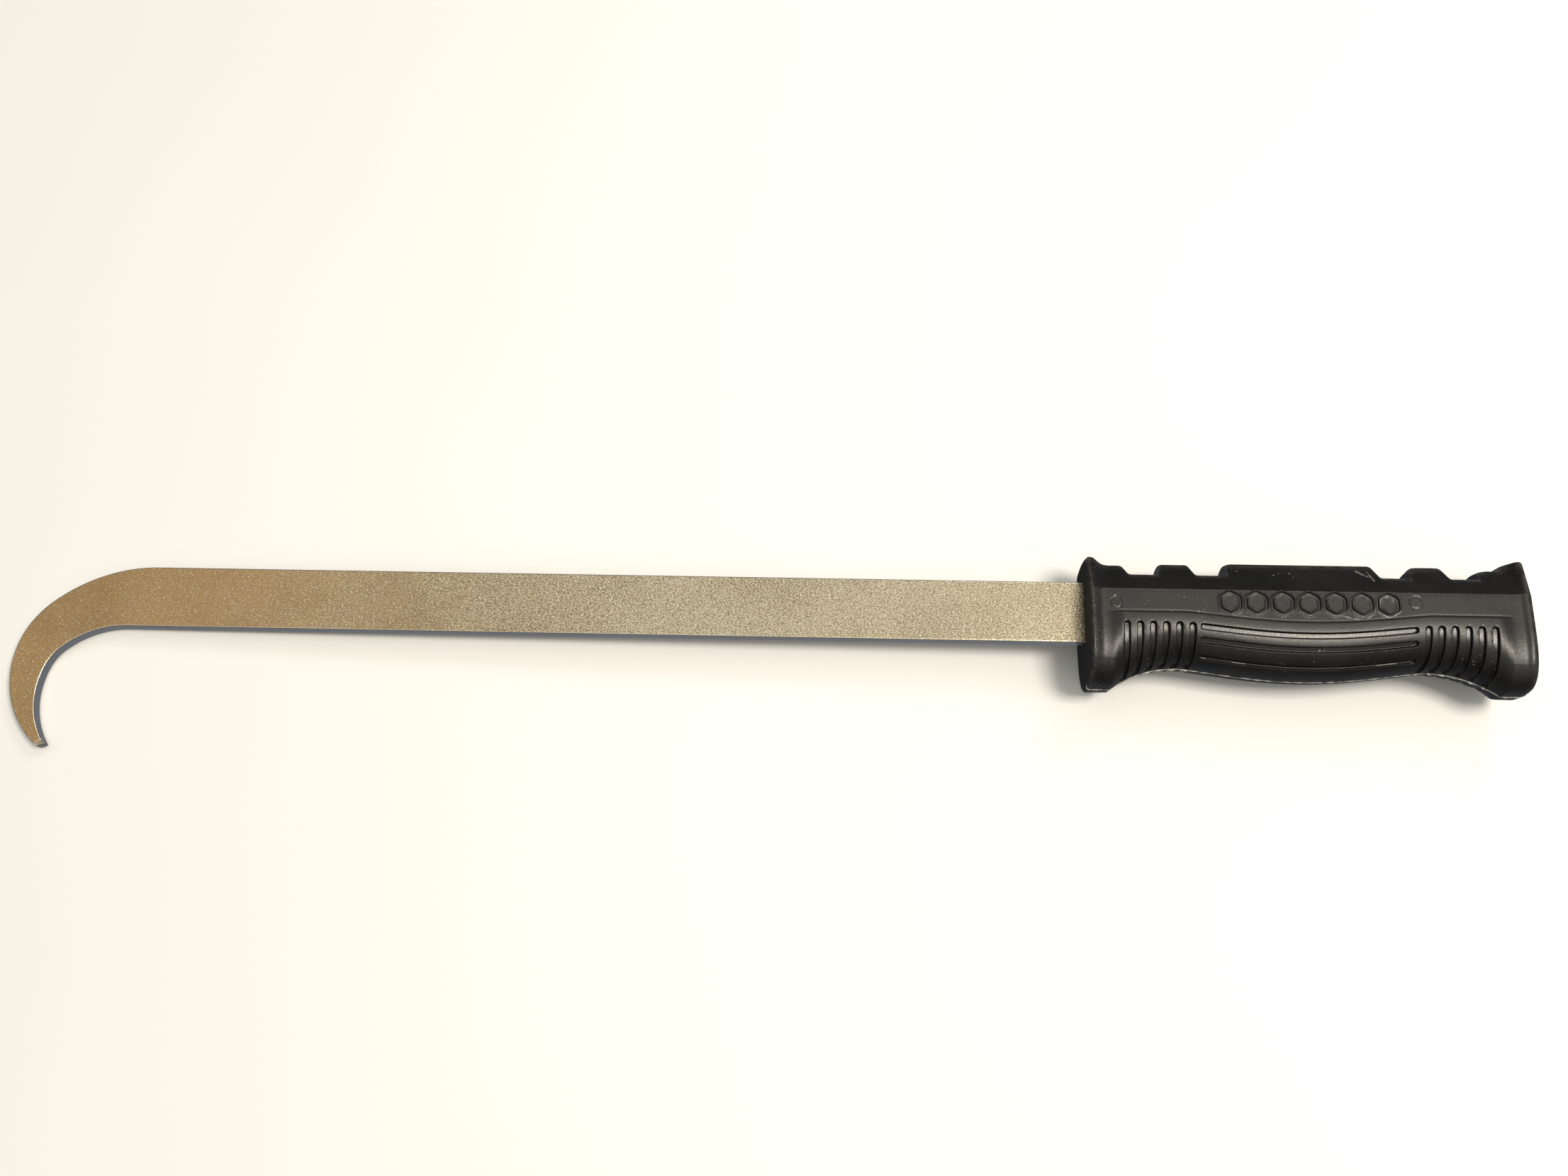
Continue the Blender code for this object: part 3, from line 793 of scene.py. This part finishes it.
def cell_marks():
    first = CELL_ROW_X - CELL_PITCH * (CELL_COUNT - 1) / 2
    return [(first + CELL_PITCH * number, CELL_ROW_Y, CELL_RADIUS) for number in range(CELL_COUNT)]


def hexagon():
    """A hexagon with rounded corners and two of its corners up, whose sides lie 1 from its middle."""
    angles = np.arange(8) * math.pi / 3 + math.pi / 6
    corners = np.column_stack([np.cos(angles), np.sin(angles)]) / math.cos(math.pi / 6)
    return rounded(corners, [CELL_CORNER_REACH] * 6, steps=4)[1:-1]


def circle(count=40):
    angles = np.linspace(0, 2 * math.pi, count, endpoint=False)
    return np.column_stack([np.cos(angles), np.sin(angles)])


def make_grip():
    grip = make_piece("moulded_grip", *grip_solid())
    lips = lip_section(CELL_STROKE, CELL_LIP, CELL_LIP_HEIGHT)
    strokes = channel_section(CELL_STROKE, CELL_DEPTH)
    rings = channel_section(PIN_MARK_STROKE, PIN_MARK_DEPTH)
    used = []
    for name, face in (("near", 1), ("far", -1)):
        plan = (
            ("cell_lips_", "UNION", hexagon(), cell_marks(), lips),
            ("cell_strokes_", "DIFFERENCE", hexagon(), cell_marks(), strokes),
            ("pin_marks_", "DIFFERENCE", circle(), PIN_MARKS, rings),
        )
        for kind, operation, shape, marks, section in plan:
            solid = make_piece(kind + name, *stroke_solids(shape, marks, section, face))
            boolean(grip, solid, operation)
            used.append(solid)
    posts = cylinder("key_posts", KEY_HOLE_PLACES, KEY_HOLE_RADIUS - 2 * SOCKET_GAP, 1.5 * BAR_HALF)
    boolean(grip, posts, "UNION")
    settle(grip, posts, *used)
    return grip


# Materials.


class Graph:
    """A material's nodes, added one call at a time. A socket given as an input is linked."""

    def __init__(self, name):
        self.material = bpy.data.materials.new(name)
        self.material.use_nodes = True
        self.tree = self.material.node_tree
        self.shader = self.tree.nodes["Principled BSDF"]
        self.place = self.add("ShaderNodeTexCoord").outputs["Object"]

    def add(self, kind, inputs=None, **settings):
        node = self.tree.nodes.new(kind)
        for key, value in settings.items():
            setattr(node, key, value)
        self.feed(node, inputs or {})
        return node

    def feed(self, node, inputs):
        for key, value in inputs.items():
            if isinstance(value, bpy.types.NodeSocket):
                self.tree.links.new(value, node.inputs[key])
            else:
                node.inputs[key].default_value = value

    def attribute(self, name):
        return self.add("ShaderNodeAttribute", attribute_name=name).outputs["Fac"]

    def math(self, operation, first, second):
        return self.add("ShaderNodeMath", {0: first, 1: second}, operation=operation).outputs[0]

    def times(self, first, second):
        return self.math("MULTIPLY", first, second)

    def vector(self, operation, first, second, output="Vector"):
        return self.add("ShaderNodeVectorMath", {0: first, 1: second}, operation=operation).outputs[output]

    def axis(self, name):
        return self.add("ShaderNodeSeparateXYZ", {0: self.place}).outputs[name]

    def stretch(self, vector, scale, turn=0.0):
        """Coordinates turned about Z by some degrees and then scaled."""
        inputs = {"Vector": vector, "Rotation": (0, 0, math.radians(turn))}
        turned = self.add("ShaderNodeMapping", inputs).outputs[0]
        return self.add("ShaderNodeMapping", {"Vector": turned, "Scale": scale}).outputs[0]

    def noise(self, scale, detail=2.0, roughness=0.5, vector=None, distortion=0.0):
        inputs = {"Vector": vector or self.place, "Scale": scale, "Detail": detail}
        inputs.update({"Roughness": roughness, "Distortion": distortion})
        return self.add("ShaderNodeTexNoise", inputs).outputs["Fac"]

    def ramp(self, value, low, high, to_low=0.0, to_high=1.0):
        """A value moved smoothly from between low and high to between two others."""
        inputs = {"Value": value, "From Min": low, "From Max": high, "To Min": to_low, "To Max": to_high}
        return self.add("ShaderNodeMapRange", inputs, interpolation_type="SMOOTHSTEP").outputs["Result"]

    def mix(self, share, first, second):
        """The first colour, turned into the second by a share."""
        node = self.add("ShaderNodeMix", data_type="RGBA")
        self.feed(node, {0: share})
        for slot, value in ((6, first), (7, second)):
            self.feed(node, {slot: value if isinstance(value, bpy.types.NodeSocket) else (*value, 1.0)})
        return node.outputs[2]

    def streak(self, start, end, width):
        """1 on the straight line between two places (x, y) of the drawing frame, 0 at its width."""
        start, end = (Vector((*place, 0.0)) + ORIGIN for place in (start, end))
        way = (end - start).to_2d()
        flat = self.vector("MULTIPLY", self.place, (1, 1, 0))
        away = self.vector("SUBTRACT", flat, (start.x, start.y, 0.0))
        unit = (way.x / way.length, way.y / way.length, 0.0)
        run = self.vector("DOT_PRODUCT", away, unit, "Value")
        run = self.math("MINIMUM", self.math("MAXIMUM", run, 0.0), way.length)
        foot = self.add("ShaderNodeVectorMath", {0: unit, "Scale": run}, operation="SCALE").outputs[0]
        gap = self.vector("DISTANCE", away, foot, "Value")
        return self.ramp(gap, STREAK_CORE * width, width, 1.0, 0.0)

    def bump(self, height, strength, distance, normal=None):
        inputs = {"Height": height, "Strength": strength, "Distance": distance}
        if normal:
            inputs["Normal"] = normal
        return self.add("ShaderNodeBump", inputs).outputs[0]


# Linear colours.
# Painted reflection: the steel's colour runs from a dark brown at the hook to a pale straw at the grip.
HOOK_REFLECTED_BROWN = (0.55, 0.34, 0.152)
SHANK_REFLECTED_STRAW = (0.75, 0.635, 0.43)
STEEL_SMUDGE = (0.33, 0.22, 0.11)
STEEL_DARK = (0.21, 0.155, 0.09)
STEEL_FLECK = (1.0, 0.95, 0.78)
STEEL_CUT = (0.84, 0.84, 0.82)
STEEL_WORN = (0.80, 0.72, 0.56)
STEEL_SCRATCH = (1.0, 0.93, 0.75)
CHARCOAL_DARK = (0.0038, 0.0037, 0.0036)
CHARCOAL_PALE = (0.0090, 0.0086, 0.0077)
CHARCOAL_GRAIN = (0.048, 0.0455, 0.041)
SCUFFED = (0.20, 0.19, 0.17)
STREAKED = (0.42, 0.40, 0.36)
RUBBED = (0.16, 0.155, 0.14)
DUST = (0.45, 0.44, 0.40)
WHITENED = (0.60, 0.58, 0.53)
# Painted shade along the crease at the fold.
CREASE_PAINTED_SHADE = (0.008, 0.008, 0.008)
FLOOR_TONES = ((0.88, 0.88, 0.875), (0.92, 0.92, 0.915))


def steel_flecks(graph, reflection_tone):
    """Short bright flecks across the bar, closer together on its paler part."""
    place = graph.stretch(graph.place, (1600, 3500, 1), turn=-20)
    flecks = graph.noise(1.0, detail=2.0, roughness=0.55, vector=place, distortion=0.4)
    return graph.ramp(graph.math("ADD", flecks, graph.times(reflection_tone, 0.11)), 0.60, 0.71)


def steel_scratches(graph, reflection_tone):
    """Long thin slanting scratches, only on the browner part towards the hook."""
    place = graph.stretch(graph.place, (150, 5200, 1), turn=-42)
    scratches = graph.ramp(graph.noise(1.0, detail=1.0, vector=place), 0.70, 0.76)
    return graph.times(scratches, graph.ramp(reflection_tone, 0.25, 0.7, 1.0, 0.0))


def steel_colour(graph, reflection_tone, mottle, fleck):
    """The rolled faces: a painted reflection from brown to straw, with smudges, a dark mottle and bright
    flecks.
    """
    colour = graph.mix(reflection_tone, HOOK_REFLECTED_BROWN, SHANK_REFLECTED_STRAW)
    smudge = graph.ramp(graph.noise(34, detail=4.0, roughness=0.6), 0.42, 0.66, 0.0, 0.34)
    colour = graph.mix(smudge, colour, STEEL_SMUDGE)
    darker = graph.times(graph.ramp(mottle, 0.36, 0.60), graph.ramp(reflection_tone, 0.1, 0.8, 0.34, 0.80))
    colour = graph.mix(darker, colour, STEEL_DARK)
    return graph.mix(graph.times(fleck, 0.9), colour, STEEL_FLECK)


def steel_material():
    """Rolled bar with a fine bright mottle, a painted reflection that makes it browner and darker towards
    the hook, and cut sides of a cooler grey.
    """
    graph = Graph("satin_rolled_steel")
    side = graph.attribute("cut_side")
    # Painted reflection: the bar is paler towards the grip and browner and darker towards the hook.
    paler = graph.ramp(graph.axis("X"), bar_low.x, grip_low.x)
    clouds = graph.times(graph.noise(55, detail=3.0), 0.25)
    reflection_tone = graph.ramp(graph.math("ADD", paler, clouds), 0.0, 0.85)
    mottle = graph.noise(2500, detail=3.0, roughness=0.6)
    fleck = steel_flecks(graph, reflection_tone)
    scratch = steel_scratches(graph, reflection_tone)
    colour = graph.mix(side, steel_colour(graph, reflection_tone, mottle, fleck), STEEL_CUT)
    colour = graph.mix(graph.times(graph.attribute("wear"), 0.6), colour, STEEL_WORN)
    colour = graph.mix(graph.times(scratch, 0.6), colour, STEEL_SCRATCH)
    rough = graph.math("ADD", graph.ramp(mottle, 0.3, 0.7, 0.17, 0.28), graph.times(side, 0.1))
    rough = graph.math("SUBTRACT", rough, graph.times(fleck, 0.05))
    run = graph.times(graph.attribute("run"), 2600)
    shear_place = graph.add("ShaderNodeCombineXYZ", {0: run}).outputs[0]
    shear = graph.noise(1.0, detail=2.0, vector=shear_place)
    pits = graph.noise(1700, detail=3.0, roughness=0.65)
    height = graph.math("SUBTRACT", pits, graph.times(scratch, 0.3))
    height = graph.math("ADD", height, graph.times(graph.times(shear, side), 0.8))
    normal = graph.bump(height, 0.30, 0.0002)
    graph.shader.inputs["Metallic"].default_value = 1.0
    graph.feed(graph.shader, {"Base Color": colour, "Roughness": rough, "Normal": normal})
    return graph.material


def grip_scuffs(graph):
    """Slanting scuffs that keep to a few patches."""
    place = graph.stretch(graph.place, (260, 1500, 700), turn=-24)
    scuffs = graph.ramp(graph.noise(1.0, detail=3.0, vector=place), 0.66, 0.78)
    return graph.times(scuffs, graph.ramp(graph.noise(45, detail=2.0), 0.52, 0.66))


def add_streaks(graph, colour):
    """The colour with the pale marks of knocks on the near side, broken up by a fine noise."""
    scrape = graph.ramp(graph.noise(900, detail=3.0, roughness=0.7), 0.42, 0.62, 0.0, 0.5)
    near_side = graph.ramp(graph.axis("Z"), ORIGIN.z, ORIGIN.z + MM)
    for start, end, width in SCUFF_STREAKS:
        streak = graph.times(graph.streak(start, end, width), scrape)
        colour = graph.mix(graph.times(streak, near_side), colour, STREAKED)
    return colour


def grip_dust(graph, along):
    """Specks in a few patches, and finer ones near the front collar."""
    specks = graph.ramp(graph.noise(1500, detail=0.0), 0.80, 0.84)
    specks = graph.times(specks, graph.ramp(graph.noise(38, detail=1.0), 0.56, 0.68))
    near_collar = graph.ramp(along, grip_low.x + 3 * MM, grip_low.x + 8 * MM, 0.5, 0.0)
    finer = graph.times(graph.ramp(graph.noise(3100, detail=0.0), 0.75, 0.80), near_collar)
    return graph.math("MAXIMUM", specks, finer)


def grip_material():
    """Charcoal moulding: a satin grain, paler worn edges, a whitened parting line, scuffs, dust and painted
    shade in the crease.
    """
    graph = Graph("charcoal_moulding")
    groove = graph.attribute("groove")
    crease = graph.attribute("crease")
    along = graph.axis("X")
    grain = graph.noise(1900, detail=3.0, roughness=0.6)
    scuff = grip_scuffs(graph)
    clouds = graph.ramp(graph.noise(70, detail=4.0), 0.35, 0.7)
    colour = graph.mix(clouds, CHARCOAL_DARK, CHARCOAL_PALE)
    colour = graph.mix(graph.ramp(grain, 0.55, 0.75, 0.0, 0.25), colour, CHARCOAL_GRAIN)
    colour = graph.mix(graph.times(scuff, 0.30), colour, SCUFFED)
    colour = add_streaks(graph, colour)
    uneven = graph.ramp(graph.noise(420, detail=3.0), 0.35, 0.65, 0.15, 0.55)
    colour = graph.mix(graph.times(graph.attribute("wear"), uneven), colour, RUBBED)
    colour = graph.mix(graph.times(grip_dust(graph, along), 0.7), colour, DUST)
    broken = graph.ramp(graph.noise(600, detail=2.0), 0.3, 0.6, 0.2, 0.95)
    colour = graph.mix(graph.times(graph.attribute("flash"), broken), colour, WHITENED)
    # Painted shade: the crease along the fold is darkened.
    colour = graph.mix(graph.times(crease, 0.5), colour, CREASE_PAINTED_SHADE)
    rough = graph.ramp(grain, 0.3, 0.7, 0.31, 0.41)
    rough = graph.math("SUBTRACT", rough, graph.times(groove, 0.08))
    rough = graph.math("ADD", rough, graph.times(scuff, 0.10))
    front_face = graph.ramp(along, grip_low.x + 0.1 * MM, grip_low.x + 0.6 * MM, 1.0, 0.0)
    rough = graph.math("ADD", rough, graph.times(front_face, 0.45))
    rough = graph.math("ADD", rough, graph.times(crease, 0.35))
    pores = graph.times(graph.noise(2400, detail=2.0), graph.ramp(groove, 0.0, 0.25, 1.0, 0.1))
    normal = graph.bump(pores, 0.22, 0.00012)
    normal = graph.bump(graph.noise(160, detail=2.0), 0.10, 0.0006, normal)
    graph.shader.inputs["Specular IOR Level"].default_value = 0.42
    graph.feed(graph.shader, {"Base Color": colour, "Roughness": rough, "Normal": normal})
    return graph.material


def floor_material():
    graph = Graph("pale_floor")
    colour = graph.mix(graph.noise(6, detail=3.0), *FLOOR_TONES)
    graph.shader.inputs["Roughness"].default_value = 0.7
    graph.shader.inputs["Specular IOR Level"].default_value = 0.2
    graph.feed(graph.shader, {"Base Color": colour})
    return graph.material


# The studio.


def make_floor():
    """A pale floor that touches the tool where it rests: the grip's front rim and the hook's end."""
    rise = (bar_low.z - grip_low.z) / (grip_low.x + FRONT_ROUNDING - bar_low.x)
    points = []
    for x in np.linspace(-FLOOR_REACH, FLOOR_REACH, FLOOR_STEPS):
        height = (grip_low.x + FRONT_ROUNDING - x) * rise + grip_low.z - FLOOR_CLEARANCE
        for y in np.linspace(-FLOOR_REACH, FLOOR_REACH, FLOOR_STEPS):
            points.append((x, y, height))
    faces = []
    for row in range(FLOOR_STEPS - 1):
        for column in range(FLOOR_STEPS - 1):
            here = row * FLOOR_STEPS + column
            faces.append((here, here + FLOOR_STEPS, here + FLOOR_STEPS + 1, here + 1))
    mesh = bpy.data.meshes.new("floor")
    mesh.from_pydata(points, [], faces)
    floor = bpy.data.objects.new("floor", mesh)
    bpy.context.scene.collection.objects.link(floor)
    floor.data.materials.append(floor_material())
    floor.visible_glossy = False


def add_light(name, place, side, power, colour):
    """A square softbox at a place, facing the grip's middle."""
    data = bpy.data.lights.new(name, "AREA")
    data.shape = "RECTANGLE"
    data.size = side
    data.size_y = side
    data.energy = power
    data.color = colour
    light = bpy.data.objects.new(name, data)
    light.location = place
    middle = Vector((grip_low.x + GRIP_LENGTH / 2, ORIGIN.y, ORIGIN.z))
    light.rotation_euler = (middle - Vector(place)).to_track_quat("-Z", "Y").to_euler()
    bpy.context.scene.collection.objects.link(light)


def light_room():
    """A room that is dim at the horizon and bright overhead, and pale where the camera sees it."""
    world = bpy.data.worlds.new("soft_room")
    bpy.context.scene.world = world
    world.use_nodes = True
    nodes = world.node_tree.nodes
    links = world.node_tree.links
    place = nodes.new("ShaderNodeTexCoord")
    split = nodes.new("ShaderNodeSeparateXYZ")
    height = nodes.new("ShaderNodeMapRange")
    height.inputs["From Min"].default_value = -1.0
    ramp = nodes.new("ShaderNodeValToRGB")
    ramp.color_ramp.interpolation = "EASE"
    for mark, (share, colour) in zip(ramp.color_ramp.elements, (ROOM_COLOURS[0], ROOM_COLOURS[-1])):
        mark.position = share
        mark.color = (*colour, 1.0)
    for share, colour in ROOM_COLOURS[1:-1]:
        ramp.color_ramp.elements.new(share).color = (*colour, 1.0)
    seen = nodes.new("ShaderNodeLightPath")
    backdrop = nodes.new("ShaderNodeMix")
    backdrop.data_type = "RGBA"
    backdrop.inputs[7].default_value = (*BACKDROP_COLOUR, 1.0)
    links.new(place.outputs["Generated"], split.inputs[0])
    links.new(split.outputs["Z"], height.inputs["Value"])
    links.new(height.outputs["Result"], ramp.inputs["Fac"])
    links.new(ramp.outputs["Color"], backdrop.inputs[6])
    links.new(seen.outputs["Is Camera Ray"], backdrop.inputs[0])
    links.new(backdrop.outputs[2], nodes["Background"].inputs["Color"])


def make_camera():
    """The camera at the viewing angle of a person standing over the bar, left of the grip."""
    data = bpy.data.cameras.new("camera")
    data.lens = CAMERA_LENS
    data.sensor_width = CAMERA_SENSOR
    camera = bpy.data.objects.new("camera", data)
    camera.location = CAMERA_PLACE
    camera.rotation_euler = Euler([math.radians(turn) for turn in CAMERA_TURNS])
    bpy.context.scene.collection.objects.link(camera)
    bpy.context.scene.camera = camera


def main():
    bar = make_bar()
    bar.data.materials.append(steel_material())
    grip = make_grip()
    grip.data.materials.append(grip_material())
    for piece, node, slot in ((bar, "hook_bar", "steel"), (grip, "grip", "moulding")):
        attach(piece, "root")
        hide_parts(node)
    make_floor()
    light_room()
    for light in SOFTBOXES:
        add_light(*light)
    make_camera()
    bpy.context.scene.view_settings.view_transform = "Standard"


main()
